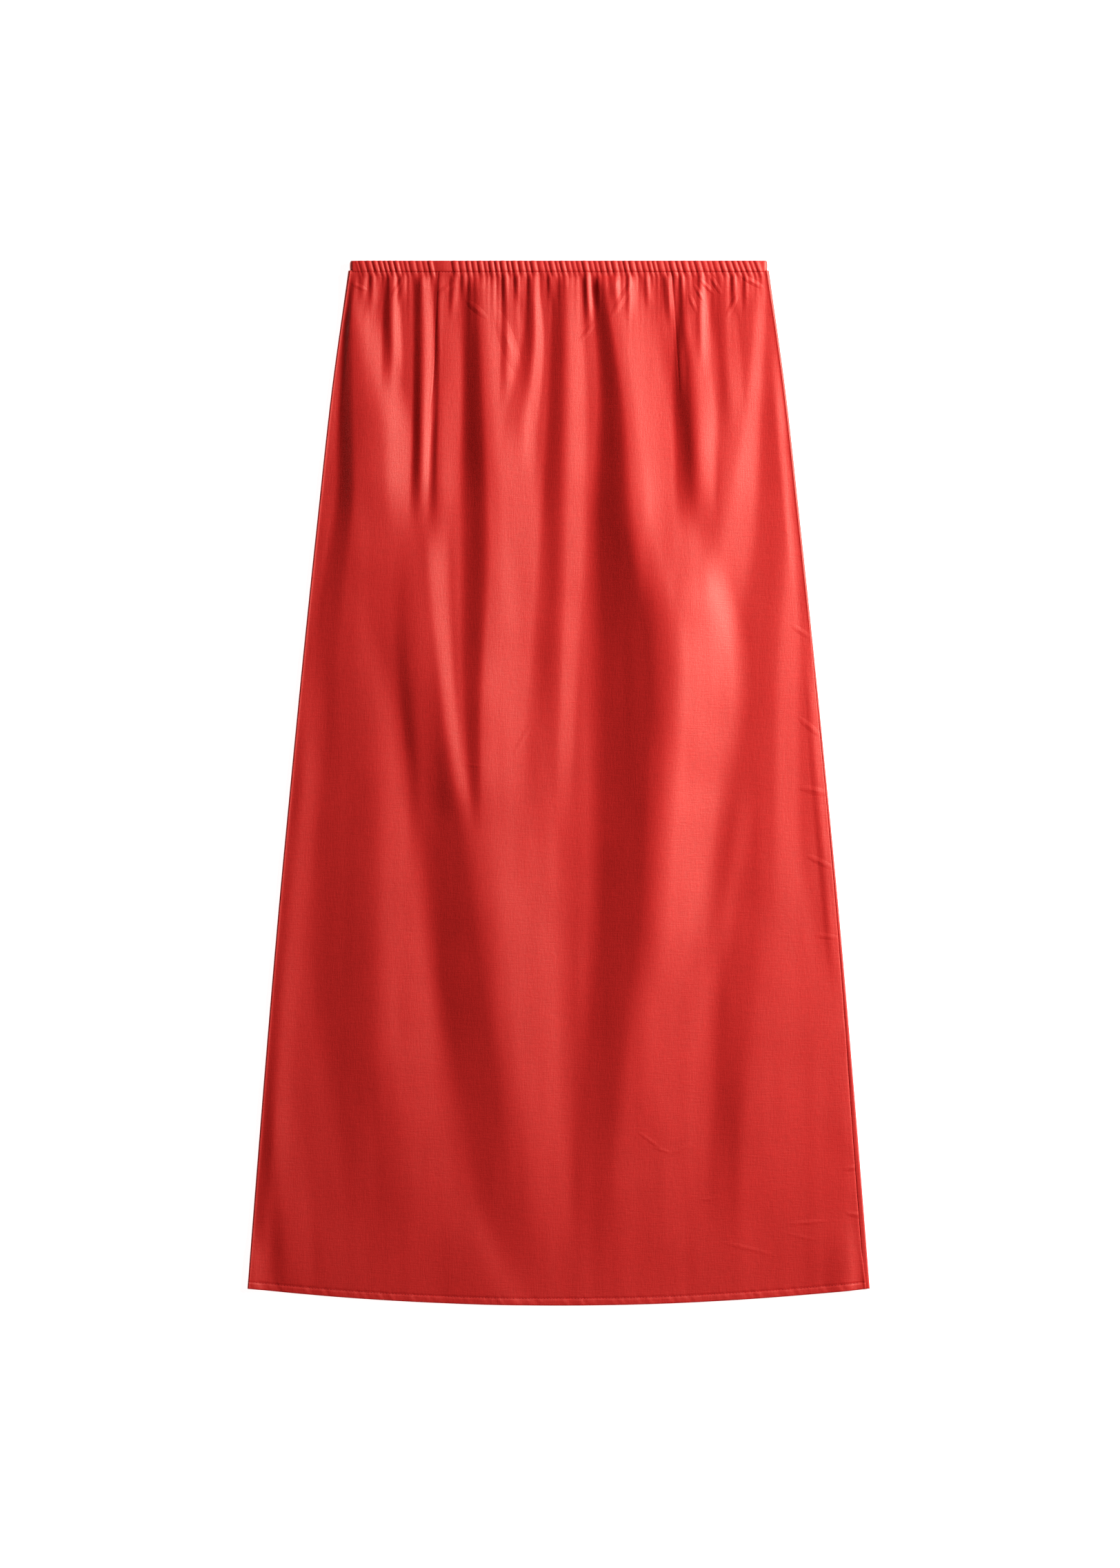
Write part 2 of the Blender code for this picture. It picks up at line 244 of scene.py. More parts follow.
def ripple(x, y, wide, tall, seed):
    """Smooth noise from -1 to 1, with cells wide by tall."""
    cells = 64
    away = 1000.0           # keeps the cell numbers above 0
    spots = np.random.default_rng(seed).uniform(-1, 1, (cells, cells))
    u, v = x / wide + away, y / tall + away
    i, j = np.floor(u).astype(int), np.floor(v).astype(int)
    f, g = ease(u - i), ease(v - j)
    i0, i1, j0, j1 = i % cells, (i + 1) % cells, j % cells, (j + 1) % cells
    low = spots[i0, j0] * (1 - f) + spots[i1, j0] * f
    high = spots[i0, j1] * (1 - f) + spots[i1, j1] * f
    return low * (1 - g) + high * g


def ripple_along(place, wide, seed):
    """The same noise along one line."""
    return ripple(place, place * 0, wide, 1.0, seed)


def half_width(down):
    return along(HALF_WIDTH, down / CORNER_DOWN)


def hem_line(x):
    return LENGTH - HEM_RISE * (x / HALF_WIDTH[-1]) ** 2


def flank(near, straight):
    """Side of a fold: 1 at the crest, 0 at its foot; a wide one is straighter between them."""
    crest, foot = 0.22, 0.75
    total = 0.5 * crest + foot - crest + 0.5 * (1 - foot)
    fall = np.where(near < crest, near ** 2 / (2 * crest),
                    np.where(near < foot, near - crest / 2,
                             total - (1 - near) ** 2 / (2 * (1 - foot))))
    soft = 0.5 + 0.5 * np.cos(np.pi * near)
    return soft + (1 - fall / total - soft) * straight


def fold_height(fold, x, down, least_straight=0.55):
    t = (down - fold.start) / (fold.end - fold.start)
    offset = x - along(fold.across, t)
    reach = np.where(offset < 0, along(fold.left, t), along(fold.right, t))
    ends = fade_in(down, fold.head, fold.start) * fade_out(down, fold.tail, fold.end)
    near = np.clip(np.abs(offset) / reach, 0.0, 1.0)
    straight_reach = 60.0
    straight = np.clip(reach / straight_reach, least_straight, 1.0)
    return along(fold.height, t) * ends * flank(near, straight)


# ---- rolls at the sides, and the seams ----------------------------------------------------

def roll_radius(down):
    """Radius of the sides, where the back cloth turns up and over."""
    waist = (FRONT_WAIST - BACK_WAIST) / 2
    low = (FRONT_SEAM - BACK_LOW) / 2
    return low + (waist - low) * (1 - fade_in(down, WAIST_SLOPE))


def back_floor(down):
    """Height of the back cloth between the rolls, without its folds."""
    return BACK_LOW + (BACK_WAIST - BACK_LOW) * (1 - fade_in(down, over=45, start=8))


def seams(down):
    """X of the side seams, where the back cloth ends on top."""
    roll = half_width(down) - CLOTH / 2 - roll_radius(down)
    return -roll, roll - along(RIGHT_STRIP, down / CORNER_DOWN)


def right_seam_shown(down):
    """1 where the right side seam is seen on top: from the upper third to above the hem."""
    return fade_in(down, over=60, start=290) * fade_out(down, over=14, end=850)


def seam_pucker(down):
    """Small puckers that the stitches of a side seam pull."""
    return 0.5 * ripple_along(down, 4.5, seed=31) + 0.25 * ripple_along(down, 2.2, seed=32)


# ---- pleats of the casing -----------------------------------------------------------------
CREASE_END = 168.0              # the creases go this far out from the middle
PLEAT_END = 171.0               # the pleats have died away here
CREASE_STEPS = (3.7, 6.3)
SMOOTH_STRETCH = (-103.0, -90.0)    # no creases at the left dart


def pleat_creases():
    """X of the creases between the pleats."""
    rng = np.random.default_rng(5)
    smooth_from, smooth_to = SMOOTH_STRETCH
    creases = []
    x = -CREASE_END
    while x < CREASE_END:
        creases.append(x)
        x += rng.uniform(*CREASE_STEPS)
        if smooth_from < x < smooth_to:
            x = smooth_to
    return np.array(creases)


CREASES = pleat_creases()
PLEAT_HIGH = np.random.default_rng(9).uniform(0.5, 1.0, len(CREASES) + 1)
PLEAT_RUN = np.random.default_rng(12).uniform(4.0, 22.0, len(CREASES) + 1)


def pleat(x, down):
    """Rounded pleats with sharp creases between them, leaning to the right downwards.

    Below the stitches each one runs out, some sooner than others.
    """
    lean = 0.28 + 0.12 * ripple_along(x, 40, seed=3)
    leans_until = 14.0
    u = x + lean * (CASING_HEIGHT / 2 - np.minimum(down, leans_until))
    edges = np.concatenate([[-PLEAT_END - 1], CREASES, [PLEAT_END + 1]])
    k = np.searchsorted(CREASES, u)
    left, right = edges[k], edges[k + 1]
    gap = right - left
    place = np.clip((u - left) / gap, 0, 1)
    bulge = 1 - (2 * place - 1) ** 2
    full_gap, wide_gap = 5.0, 9.0       # narrow pleats are low, and the smooth stretch is too
    flat = np.clip(gap / full_gap, 0, 1) * np.where(gap > wide_gap, 0.55, 1.0)
    out = np.exp(-np.clip(down - STITCH_DOWN, 0, None) / PLEAT_RUN[k])
    return bulge * flat * PLEAT_HIGH[k] * out * fade_out(np.abs(u), over=4, end=PLEAT_END)


# ---- the shape of the front ---------------------------------------------------------------

def front_lying(x, down, rim):
    """The front without its folds: from the side seams it comes down onto the back."""
    seam = back_floor(down) + 2 * roll_radius(down)
    left_reach = 25 + 25 * bell(down - 200, wide=130) - 10 * fade_in(down, over=50, start=800)
    right_reach = 70
    reach = np.where(x < 0, left_reach, right_reach)
    settle = ease(rim / reach) * fade_in(down, WAIST_SLOPE, CASING_HEIGHT)
    return seam + (FRONT_LOW - seam) * settle


def fold_lift(x, down, rim):
    """All folds and gathers, which are flatter near the side seams."""
    lift = sum(fold_height(fold, x, down) for fold in FOLDS.values())
    lift = lift + GATHER_FULLNESS * sum(fold_height(fold, x, down, 1.0) for fold in GATHERS)
    edge = 6 + 6 * fade_in(down, over=200)
    return FOLD_FULLNESS * lift * ease(rim / edge)


def unevenness(x, down, rim):
    """Faint ripples: long ones down the cloth, and slanting ones across it."""
    fine = 0.16 * ripple(x, down, 17, 150, seed=21) + 0.08 * ripple(x, down, 9, 70, seed=22)
    size = 0.20 + 0.14 * fade_out(down, over=120, end=LENGTH)
    slanting = size * ripple(x + 0.2 * down, down, 30, 26, seed=23)
    broad = 0.45 * ripple(x - 0.15 * down, down, 52, 64, seed=24)
    return (fine + slanting) * fade_in(rim, 8) + broad * fade_in(rim, 12) * fade_in(down, 150)


def waist_relief(x, down):
    """The pleats run out below the stitches, which lie in a groove."""
    below = np.clip(down - STITCH_DOWN, 0, None)
    swell = 0.9 * np.exp(-below / 6)
    groove = 0.25 * bell(down - STITCH_DOWN, wide=0.8)
    return swell + pleat(x, down) - groove


def dart_relief(x, down):
    """Each dart is a fine puckered groove with a soft ridge on its right."""
    relief = 0
    for dart in DARTS:
        t = (down - DART_TOP) / (dart.end - DART_TOP)
        off = x - along(dart.across, t)
        shown = fade_out(down, over=25, end=dart.end) * fade_in(down, over=4, start=8)
        pull = 0.8 + 0.4 * ripple_along(down, 3.1, seed=51)
        groove = along(dart.depth, t) * pull * bell(off, wide=0.75)
        ridge = 0.35 * ease(1 - np.abs(off - 2.0) / 5.0)
        relief = relief + shown * (ridge - groove)
    return relief


def seam_relief(x, down, rim):
    """The front's edge turns in at the side seams, with small puckers across them."""
    shown = right_seam_shown(down) * (x > 0)
    near = np.clip(rim, 0, None)
    edge = (0.34 - 0.64 * shown) * np.exp(-near / 0.6)
    puckers = seam_pucker(down) * (0.15 + 0.4 * shown) * np.exp(-near / 3.5)
    return edge + puckers * ease(1.5 + rim)


def hem_relief(x, down):
    """The hem is a little raised, with a groove at its stitches and small drag puckers."""
    foot = hem_line(x) - down
    drag = 0.16 * ripple_along(x + 0.6 * foot, 3.4, seed=41) * bell(foot - 3.5, wide=4.0)
    groove = 0.4 * bell(foot - HEM_DEPTH, wide=0.7)
    raised = 0.25 * fade_out(foot, over=8, end=8)
    return drag - groove + raised


def corner_lift(x, down):
    """The left corner of the hem stands up a little."""
    wide = 4 + 12 * fade_in(down, over=55, start=815)
    return 1.4 * fade_in(down, over=30, start=812) * bell(x + half_width(down), wide)


def front_height(x, down):
    """Height of the middle of the front cloth."""
    left, right = seams(down)
    rim = np.minimum(x - left, right - x)
    whole = front_lying(x, down, rim) + fold_lift(x, down, rim) + unevenness(x, down, rim)
    details = waist_relief(x, down) + dart_relief(x, down) + seam_relief(x, down, rim)
    return whole + details + hem_relief(x, down) + corner_lift(x, down)


# ---- meshes and pieces --------------------------------------------------------------------

def finish_mesh(name, points, faces):
    """Smooth mesh of points in mm."""
    mesh = bpy.data.meshes.new(name)
    mesh.from_pydata((np.asarray(points) * MM).tolist(), [], faces)
    mesh.polygons.foreach_set("use_smooth", np.ones(len(faces), dtype=bool))
    mesh.update()
    return mesh


def grid_mesh(name, points, wrap_columns=False, wrap_rows=False, flip=False):
    """Mesh of quads through points[row, column]."""
    rows, columns = points.shape[:2]
    index = np.arange(rows * columns).reshape(rows, columns)
    r = np.arange(rows if wrap_rows else rows - 1)[:, None]
    c = np.arange(columns if wrap_columns else columns - 1)[None, :]
    r2, c2 = (r + 1) % rows, (c + 1) % columns
    quads = np.stack([index[r, c], index[r2, c], index[r2, c2], index[r, c2]], -1).reshape(-1, 4)
    if flip:
        quads = quads[:, ::-1]
    return finish_mesh(name, points.reshape(-1, 3), quads.tolist())


def add_piece(name, mesh, material, wall=None):
    """Piece that rides on the skirt, with a wall's thickness where it is a bare surface."""
    piece = bpy.data.objects.new(name, mesh)
    bpy.context.scene.collection.objects.link(piece)
    mesh.materials.append(material)
    if wall:
        solid = piece.modifiers.new("wall", "SOLIDIFY")
        solid.thickness = wall * MM
        solid.offset = 0.0
        solid.use_even_offset = True
    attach(piece, "root")
    return piece


# ---- materials ----------------------------------------------------------------------------
WARP_PITCH = 0.42
WEFT_PITCH = 0.50
WEAVE_BUMP = 0.22           # height of the bump
DARK_COTTON = (0.570, 0.0030, 0.0045)
LIGHT_COTTON = (0.665, 0.0060, 0.0075)

# Small creases at the waist, crumples in the cloth and puckers by the right side seam.  Each
# is a soft oval in the bump.  Angles are in degrees.
Crumple = namedtuple("Crumple", "x down half_length half_width angle height")
CRUMPLES = (
    Crumple(-168, 22, 8, 2.6, -25, 0.40),
    Crumple(-136, 23, 10, 2.6, 62, 0.45),
    Crumple(-95, 24, 9, 3.2, 35, 0.50),
    Crumple(-69, 41, 12, 3.4, -40, 0.45),
    Crumple(-43, 68, 30, 7.0, -70, 0.60),
    Crumple(24, 60, 11, 3.0, 52, 0.30),
    Crumple(53, 33, 18, 3.6, 60, 0.50),
    Crumple(113, 36, 9, 2.4, -68, 0.40),
    Crumple(118, 27, 9, 2.2, -60, 0.40),
    Crumple(125, 22, 9, 2.2, -46, 0.40),
    Crumple(132, 20, 10, 2.4, -58, 0.45),
    Crumple(146, 38, 11, 2.8, 64, 0.40),
    Crumple(163, 18, 11, 2.8, -28, 0.60),
    Crumple(76, 740, 13, 2.2, -36, 0.16),
    Crumple(88, 749, 9, 2.0, -18, 0.14),
    Crumple(104, 748, 11, 2.2, 28, 0.18),
    Crumple(209, 810, 18, 2.4, 5, 0.22),
    Crumple(205, 822, 14, 2.4, -12, 0.12),
    Crumple(127, 790, 12, 2.2, 8, 0.12),
    Crumple(160, 832, 26, 2.6, -14, 0.14),
    Crumple(204, 312, 11, 3.0, -34, 0.24),
    Crumple(211, 392, 13, 3.2, -40, 0.28),
    Crumple(215, 446, 14, 3.6, -12, 0.40),
    Crumple(220, 506, 13, 3.2, -26, 0.32),
    Crumple(226, 569, 11, 2.8, -6, 0.26),
    Crumple(247, 764, 8, 2.8, 10, 0.28),
    Crumple(249, 803, 8, 2.8, -8, 0.30),
    Crumple(-71, 425, 11, 1.8, -5, 0.14),
    Crumple(-30, 402, 16, 3.0, 60, 0.16),
)


def new_material(name, roughness, colour=None):
    """Material and its shader."""
    material = bpy.data.materials.new(name)
    material.use_nodes = True
    shader = material.node_tree.nodes["Principled BSDF"]
    shader.inputs["Roughness"].default_value = roughness
    if colour:
        shader.inputs["Base Color"].default_value = (*colour, 1)
    return material, shader


def feed(tree, socket, value):
    """Link a socket to another one, or set it to a number or a few."""
    if isinstance(value, bpy.types.NodeSocket):
        tree.links.new(value, socket)
    else:
        socket.default_value = value


def add_node(tree, kind, inputs):
    node = tree.nodes.new(kind)
    for key, value in inputs.items():
        feed(tree, node.inputs[key], value)
    return node


def maths(tree, kind, *values, clamp=False):
    node = add_node(tree, "ShaderNodeMath", dict(enumerate(values)))
    node.operation = kind
    node.use_clamp = clamp
    return node.outputs[0]


def noise(tree, place, wide, tall, detail):
    """Noise with spots wide by tall."""
    scale = (1 / (wide * MM), 1 / (tall * MM), 1 / (wide * MM))
    spots = add_node(tree, "ShaderNodeMapping", {"Vector": place, "Scale": scale})
    texture = add_node(tree, "ShaderNodeTexNoise",
                       {"Vector": spots.outputs["Vector"], "Scale": 1.0, "Detail": detail})
    return texture.outputs["Fac"]


def weave(tree, place):
    """Crossing threads, as the product of a wave across and a wave down."""
    split = add_node(tree, "ShaderNodeSeparateXYZ", {"Vector": place})
    waves = []
    for axis, pitch in (("X", WARP_PITCH), ("Y", WEFT_PITCH)):
        turns = maths(tree, "MULTIPLY", split.outputs[axis], 2 * math.pi / (pitch * MM))
        waves.append(maths(tree, "SINE", turns))
    return maths(tree, "MULTIPLY", *waves)


def crumple_normal(tree, place, crumples):
    """Normal of the cloth with its crumples, for the weave's bump to build on."""
    total = 0.0
    for mark in crumples:
        oval = add_node(tree, "ShaderNodeMapping", {
            "Vector": place,
            "Location": (mark.x * MM, (LENGTH / 2 - mark.down) * MM, 0),
            "Rotation": (0, 0, math.radians(mark.angle)),
            "Scale": (mark.half_length * MM, mark.half_width * MM, 1)})
        oval.vector_type = "TEXTURE"
        mound = add_node(tree, "ShaderNodeTexGradient", {"Vector": oval.outputs["Vector"]})
        mound.gradient_type = "SPHERICAL"
        total = maths(tree, "ADD", total, maths(tree, "MULTIPLY", mound.outputs["Fac"], mark.height))
    bump = add_node(tree, "ShaderNodeBump", {"Strength": 1.0, "Distance": MM, "Height": total})
    return bump.outputs["Normal"]


def cotton(name, tint=1.0, crumples=()):
    """Plain-woven cotton: weave and slubs in the bump, a little variation in the colour."""
    material, shader = new_material(name, roughness=0.55)
    tree = material.node_tree
    shader.inputs["Specular IOR Level"].default_value = 1.0
    shader.inputs["Specular Tint"].default_value = (1.0, 0.80, 0.64, 1.0)
    place = tree.nodes.new("ShaderNodeTexCoord").outputs["Object"]

    weave_share, grain_share = 0.14, 0.7
    slubs_down = noise(tree, place, wide=0.9, tall=9.0, detail=2.0)
    slubs_across = noise(tree, place, wide=9.0, tall=0.9, detail=2.0)
    slubs = maths(tree, "ADD", slubs_down, slubs_across)
    grain = noise(tree, place, wide=2.2, tall=2.2, detail=3.0)
    height = maths(tree, "ADD", maths(tree, "MULTIPLY", weave(tree, place), weave_share), slubs)
    height = maths(tree, "ADD", height, maths(tree, "MULTIPLY", grain, grain_share))
    bump = add_node(tree, "ShaderNodeBump",
                    {"Strength": 0.42, "Distance": WEAVE_BUMP * MM, "Height": height})
    if crumples:
        feed(tree, bump.inputs["Normal"], crumple_normal(tree, place, crumples))
    feed(tree, shader.inputs["Normal"], bump.outputs["Normal"])

    slub_share, patch_share, middle = 0.9, 0.6, 0.7
    patches = noise(tree, place, wide=60.0, tall=90.0, detail=3.0)
    shade = maths(tree, "ADD", maths(tree, "MULTIPLY", slubs, slub_share),
                  maths(tree, "MULTIPLY", patches, patch_share))
    shade = maths(tree, "SUBTRACT", shade, middle, clamp=True)
    ramp = add_node(tree, "ShaderNodeValToRGB", {"Fac": shade})
    stops = ((0.2, DARK_COTTON), (0.8, LIGHT_COTTON))
    for stop, (position, colour) in zip(ramp.color_ramp.elements, stops):
        stop.position = position
        stop.color = (*(part * tint for part in colour), 1)
    feed(tree, shader.inputs["Base Color"], ramp.outputs["Color"])
    return material


def thread_with_painted_shade():
    """Matching thread, coloured darker than the cloth as painted shade for the stitch holes; a fine twist
    in the bump.
    """
    # The thread's own red, darkened as painted shade where the stitches sink into the cloth.
    material, shader = new_material("thread_with_painted_shade", roughness=0.55, colour=(0.42, 0.006, 0.008))
    tree = material.node_tree
    twist = add_node(tree, "ShaderNodeTexNoise", {"Scale": 4000.0})
    bump = add_node(tree, "ShaderNodeBump",
                    {"Strength": 0.4, "Distance": 0.05 * MM, "Height": twist.outputs["Fac"]})
    feed(tree, shader.inputs["Normal"], bump.outputs["Normal"])
    return material


front_cotton = cotton("cotton_front", crumples=CRUMPLES)
back_cotton = cotton("cotton_back", tint=0.98)
casing_cotton = cotton("cotton_casing")
# Thread of the stitches: its darker colour is partly painted shade.
thread = thread_with_painted_shade()


# ---- rows and columns of a panel ----------------------------------------------------------

def row_steps(body_rows, hem_rows, turn_rows):
    """Rows of a panel: spread down the cloth, close together at both ends, then turned under."""
    close_rows, close_step = 10, 0.0007
    start = close_rows * close_step
    spread = start + (1 - start) * np.linspace(0, 1, body_rows - close_rows) ** 1.3
    rows = [("body", t) for t in (*np.arange(close_rows) * close_step, *spread)]
    rows += [("hem", t) for t in np.linspace(0, 1, hem_rows + 1)[1:]]
    rows += [("turn", t) for t in np.linspace(0, 1, turn_rows + 1)[1:]]
    rows += [("under", t) for t in (0.3, 0.65, 1.0)]
    return rows


def panel_points(column_x, height, turn_up, rows):
    """Points of a panel; turn_up is +1 where the hem's turning lies above the cloth."""
    near_hem = 5.0          # where X is read for the hem's curve
    hem_band = 10.0         # the last stretch above the hem's edge, with close rows
    turning = HEM_DEPTH - 0.6   # the turned cloth ends near the stitches
    edge = hem_line(column_x(LENGTH - near_hem))
    out = []
    for kind, t in rows:
        if kind == "body":
            down = PANEL_TOP + t * (edge - hem_band - PANEL_TOP)
        elif kind == "hem":
            down = edge - hem_band + t * (hem_band - HEM_TURN)
        elif kind == "turn":
            down = edge - HEM_TURN
        else:
            down = edge - HEM_TURN - t * turning
        x = column_x(down)
        z = height(x, down)
        if kind == "turn":
            z = z + turn_up * HEM_TURN * (1 - np.cos(half_circle(t)))
            down = down + HEM_TURN * np.sin(half_circle(t))
        if kind == "under":
            z = z + turn_up * 2 * HEM_TURN
        out.append(np.stack([x, LENGTH / 2 - down, z], -1))
    return np.array(out)


# ---- front cloth --------------------------------------------------------------------------
FRONT_COLUMNS = 420
DART_PARTS = (-0.57, 0.535)     # of the half width


def front_parts():
    """Columns of the front as parts of its half width, close together at darts and seams."""
    parts = np.linspace(-1, 1, 3001)
    weight = np.ones_like(parts)
    for at in DART_PARTS:
        weight += 1.6 * bell(parts - at, wide=0.03)
    weight += 1.5 * bell(1 - np.abs(parts), wide=0.015)
    total = np.concatenate([[0], np.cumsum((weight[1:] + weight[:-1]) / 2)])
    return np.interp(np.linspace(0, total[-1], FRONT_COLUMNS), total, parts)


PARTS = front_parts()


def front_columns(down):
    """X of the columns.  The edges lap over the rolls, but not where the right seam is seen."""
    left, right = seams(np.broadcast_to(down, PARTS.shape))
    left_lap, right_lap, corner_lap = 0.6, 0.4, 0.9
    left = left - left_lap
    right = right + right_lap * (1 - right_seam_shown(down))
    right = right + corner_lap * fade_in(down, over=12, start=838)
    return (left + right) / 2 + PARTS * (right - left) / 2


front_rows = row_steps(body_rows=100, hem_rows=11, turn_rows=4)
front_points = panel_points(front_columns, front_height, -1, front_rows)
front = add_piece("front_cloth", grid_mesh("front_cloth", front_points), front_cotton,
                  CLOTH)
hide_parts("front_panel", "front_hem")


# ---- back cloth ---------------------------------------------------------------------------
# Columns over each roll, over the flat between them, and over the strip on top.
ROLL = 9
FLAT = 110
STRIP = 5
BACK_COLUMNS = 2 * ROLL + FLAT + STRIP + 1
COLUMN = np.arange(BACK_COLUMNS)
LEFT_TURN = half_circle(COLUMN / ROLL)
RIGHT_TURN = half_circle((COLUMN - ROLL - FLAT) / ROLL)


def back_folds_lift(x, down):
    return sum(fold_height(fold, x, down) for fold in BACK_FOLDS)


def back_sections(down):
    """X and Z of the back's section: left roll, flat, right roll and the strip on top."""
    down = np.broadcast_to(down, COLUMN.shape)
    radius = roll_radius(down)
    centre = half_width(down) - CLOTH / 2 - radius
    right = seams(down)[1]
    flat = np.clip((COLUMN - ROLL) / FLAT, 0, 1)
    strip = np.clip((COLUMN - 2 * ROLL - FLAT) / STRIP, 0, 1)
    strip_lap = 0.05
    x = -centre - radius * np.sin(LEFT_TURN) + 2 * centre * flat + radius * np.sin(RIGHT_TURN)
    x = x + (right + strip_lap - centre) * strip
    z = back_floor(down) + radius * (1 + np.cos(LEFT_TURN)) + radius * (1 - np.cos(RIGHT_TURN))
    on_flat = (flat > 0) * (RIGHT_TURN == 0)
    return x, z + back_folds_lift(x, down) * fade_out(np.abs(x), over=20, end=centre) * on_flat


def back_columns(down):
    return back_sections(down)[0]


def back_height(x, down):
    """Height of the back cloth, with the seam's puckers where it lies on top."""
    z = back_sections(down)[1]
    right = seams(down)[1]
    top = ease((z - back_floor(down)) / (2 * roll_radius(down)) * 2 - 1)
    off = np.abs(x - right)
    puckers = 0.45 * seam_pucker(down) * np.exp(-off / 3.0)
    groove = 0.3 * np.exp(-off / 0.5) * right_seam_shown(down) * (x > 0)
    return z + top * (puckers - groove)


# The hem turns to the inside: up on the flat, and down where the back lies on top.
BACK_TURN_UP = -np.cos(LEFT_TURN) * np.cos(RIGHT_TURN)

back_rows = row_steps(body_rows=100, hem_rows=8, turn_rows=4)
back_points = panel_points(back_columns, back_height, BACK_TURN_UP, back_rows)
back = add_piece("back_cloth", grid_mesh("back_cloth", back_points, flip=True), back_cotton,
                 CLOTH)
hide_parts("back_panel", "back_hem")


# ---- waist casing -------------------------------------------------------------------------
CASING_INSET = 1.3          # of the tube's middle, from the outline at the waist
CASING_WALL = 1.15          # half the tube's thickness
PLEAT_RISE = 0.95           # of the outer face at a full pleat
SCALLOP = 0.18              # the top edge goes up and down by this with the pleats
FRONT_STEPS = 620
BACK_STEPS = 420
END_STEPS = 13
TUBE_SIDES = 25


def squared(value, power):
    """A sine or cosine with a power below 1, for a section with fuller corners."""
    return np.sign(value) * np.abs(value) ** power


def casing_line():
    """Middle of the tube round the waist: X and Z, and X and Z of the way outwards."""
    roll = (CASING_FRONT_Z - CASING_BACK_Z) / 2
    middle = (CASING_FRONT_Z + CASING_BACK_Z) / 2
    end = HALF_WIDTH[0] - CASING_INSET - roll
    turn = [(math.sin(a), math.cos(a)) for a in np.linspace(0, math.pi, END_STEPS + 1)[1:-1]]
    line = [(x, CASING_FRONT_Z, 0, 1) for x in np.linspace(-end, end, FRONT_STEPS)]
    line += [(end + roll * s, middle + roll * c, s, c) for s, c in turn]
    line += [(x, CASING_BACK_Z, 0, -1) for x in np.linspace(end, -end, BACK_STEPS)]
    line += [(-end - roll * s, middle - roll * c, -s, -c) for s, c in turn]
    return np.array(line)


def casing_points():
    """A flattened ring: the section runs round the tube, and the tube round the waist."""
    x, z, out_x, out_z = (column[:, None] for column in casing_line().T)
    turns = np.linspace(0, 2 * math.pi, TUBE_SIDES, endpoint=False)
    up, out = np.cos(turns)[None, :], np.sin(turns)[None, :]
    tall = CASING_HEIGHT / 2 * squared(up, 0.8)
    down = CASING_HEIGHT / 2 - tall
    bulge = pleat(x, down) * np.abs(out_z) ** 2
    outer_face = ease(out * 1.4 + 0.55)
    top_edge = ease(up * 3 - 1.6)
    off = CASING_WALL * squared(out, 0.6) + PLEAT_RISE * bulge * outer_face
    scallop = SCALLOP * (bulge - 0.7) * top_edge
    y = LENGTH / 2 - CASING_HEIGHT / 2 + tall + scallop
    return np.stack([x + out_x * off, y, z + out_z * off], -1)


casing = add_piece("waist_casing",
                   grid_mesh("waist_casing", casing_points(), wrap_columns=True, wrap_rows=True),
                   casing_cotton)
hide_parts("front_casing", "back_casing")


# ---- stitches -----------------------------------------------------------------------------

def stitch_mesh(name, starts, ends, arch):
    """One joined mesh of short threads, each a small arched tube from start to end."""
    rings, sides = 5, 6
    thin_end, sunk = 0.45, 0.35     # as parts of the radius and of the arch
    angle = np.linspace(0, 2 * math.pi, sides, endpoint=False)
    verts, faces = [], []
    for a, b in zip(starts, ends):
        run = (b - a) / np.linalg.norm(b - a)
        across = np.cross(run, (0, 0, 1.0))
        across /= np.linalg.norm(across)
        up = np.cross(across, run)
        base = len(verts)
        for t in np.linspace(0, 1, rings):
            swell = math.sin(math.pi * t)
            radius = THREAD_RADIUS * (thin_end + (1 - thin_end) * swell)
            centre = a + (b - a) * t + up * arch * (swell - sunk)
            for g in angle:
                verts.append(centre + radius * (math.cos(g) * across + math.sin(g) * up))
        for ring in range(base, base + (rings - 1) * sides, sides):
            for g in range(sides):
                p, q = ring + g, ring + (g + 1) % sides
                faces.append((p, q, q + sides, p + sides))
        last = base + (rings - 1) * sides
        faces.append(tuple(reversed(range(base, base + sides))))
        faces.append(tuple(range(last, last + sides)))
    return finish_mesh(name, verts, faces)


def add_stitches(name, low, high, down_of, height_of, side):
    """Row of stitches from low to high across, on top of the cloth or, with side -1, under it."""
    count = int((high - low) / STITCH_PITCH)
    first = low + (high - low) * np.arange(count) / count
    x = np.stack([first, first + STITCH_PITCH * STITCH_SHARE])
    down = down_of(x)
    z = height_of(x, down) + side * CLOTH / 2
    starts, ends = np.stack([x, LENGTH / 2 - down, z], -1)
    mesh = stitch_mesh(name, starts, ends, side * STITCH_ARCH)
    return add_piece(name, mesh, thread)


def waist_line(x):
    return np.full_like(x, STITCH_DOWN)


def back_waist_line(x):
    return np.full_like(x, BACK_STITCH_DOWN)


def hem_stitch_line(x):
    return hem_line(x) - HEM_DEPTH


def back_plain(x, down):
    """The back cloth between the rolls."""
    return back_floor(down) + back_folds_lift(x, down)


waist_row = add_stitches("waist_stitches", -WAIST_ROW_END, WAIST_ROW_END,
                         waist_line, front_height, 1)
hem_row = add_stitches("hem_stitches", -HEM_ROW_END, HEM_ROW_RIGHT,
                       hem_stitch_line, front_height, 1)
back_waist_row = add_stitches("back_waist_stitches", -WAIST_ROW_END,
                              WAIST_ROW_END, back_waist_line, back_plain, -1)
back_hem_row = add_stitches("back_hem_stitches", -HEM_ROW_END, HEM_ROW_END,
                            hem_stitch_line, back_plain, -1)


# ---- elastic ------------------------------------------------------------------------------
elastic_material = new_material("woven_elastic", roughness=0.85, colour=(0.80, 0.78, 0.73))[0]
cad_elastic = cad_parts["waist_elastic"]
cad_elastic.data.materials.clear()
cad_elastic.data.materials.append(elastic_material)


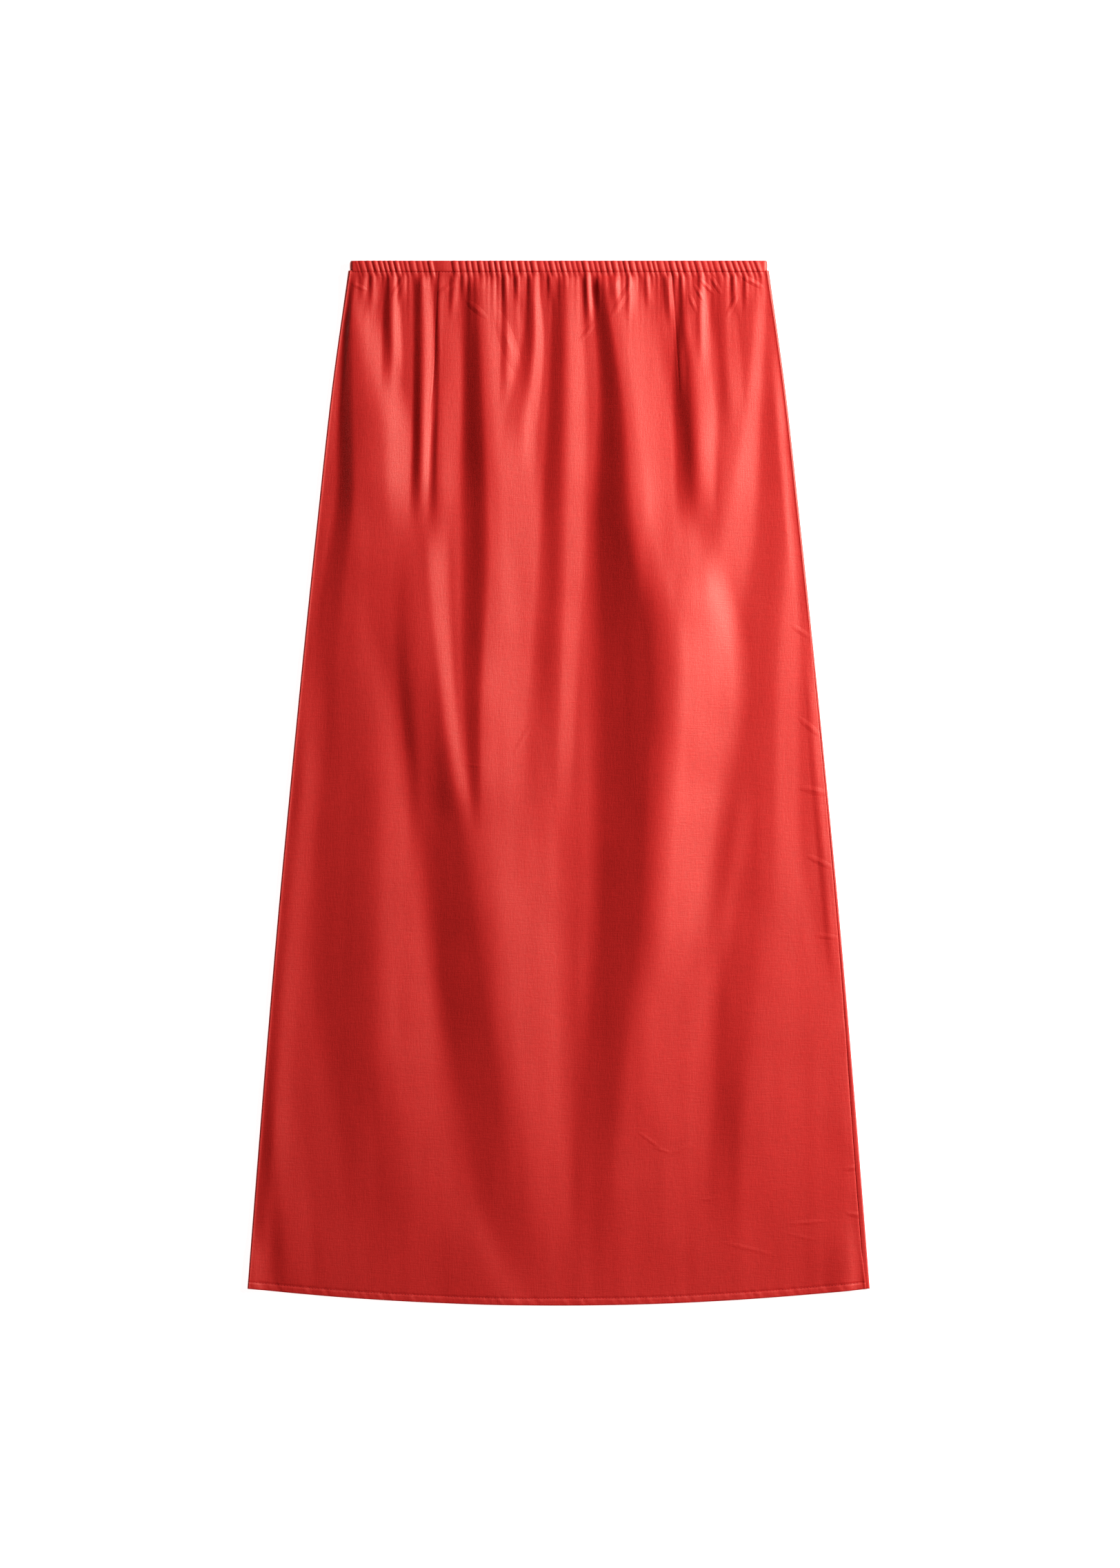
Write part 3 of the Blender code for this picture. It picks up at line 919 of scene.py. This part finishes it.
# ---- floor, light and camera: sizes in metres ---------------------------------------------
FLOOR_REACH = 6.0
FLOOR_Z = -0.0003               # just clear of the stitches under the back
KEY_PLACE = (1.770, 0.789, 1.043)
KEY_SIZE = 0.6
KEY_POWER = 92.0
VIEW_HEIGHT = 1.3203            # this much fills the picture's height, at VIEW_Z
VIEW_CENTRE = (0.00116, -0.00058)
VIEW_Z = 0.004                  # within the folds of the cloth
LENS = 100
SENSOR = 36


def pale_floor():
    material, shader = new_material("pale_floor", roughness=0.9, colour=(0.9, 0.9, 0.9))
    shader.inputs["Specular IOR Level"].default_value = 0.1
    shader.inputs["Emission Color"].default_value = (1, 1, 1, 1)
    shader.inputs["Emission Strength"].default_value = 0.96
    return material


floor_corners = [(x * FLOOR_REACH, y * FLOOR_REACH, 0) for x, y in ((-1, -1), (1, -1), (1, 1), (-1, 1))]
floor_mesh = bpy.data.meshes.new("floor")
floor_mesh.from_pydata(floor_corners, [], [(0, 1, 2, 3)])
floor_mesh.materials.append(pale_floor())
floor = bpy.data.objects.new("floor", floor_mesh)
floor.location.z = FLOOR_Z
bpy.context.scene.collection.objects.link(floor)

light = bpy.data.lights.new("key", "AREA")
light.shape = "SQUARE"
light.size = KEY_SIZE
light.energy = KEY_POWER
lamp = bpy.data.objects.new("key", light)
lamp.location = KEY_PLACE
lamp.rotation_mode = "QUATERNION"
lamp.rotation_quaternion = (-Vector(KEY_PLACE)).to_track_quat("-Z", "Y")
lamp.visible_camera = False
bpy.context.scene.collection.objects.link(lamp)

# Faint warm light from all round.
world = bpy.data.worlds.new("studio")
world.use_nodes = True
background = world.node_tree.nodes["Background"]
background.inputs["Color"].default_value = (1.0, 0.28, 0.24, 1)
background.inputs["Strength"].default_value = 0.08
bpy.context.scene.world = world
bpy.context.scene.view_settings.view_transform = "Standard"

# The photo is taken from straight above, and a camera that isn't turned looks straight down.
view = bpy.data.cameras.new("view")
view.lens = LENS
view.sensor_width = SENSOR
view.clip_start = 0.1
view.clip_end = 50
camera = bpy.data.objects.new("view", view)
camera.location = (*VIEW_CENTRE, VIEW_HEIGHT * LENS / SENSOR + VIEW_Z)
bpy.context.scene.collection.objects.link(camera)
bpy.context.scene.camera = camera
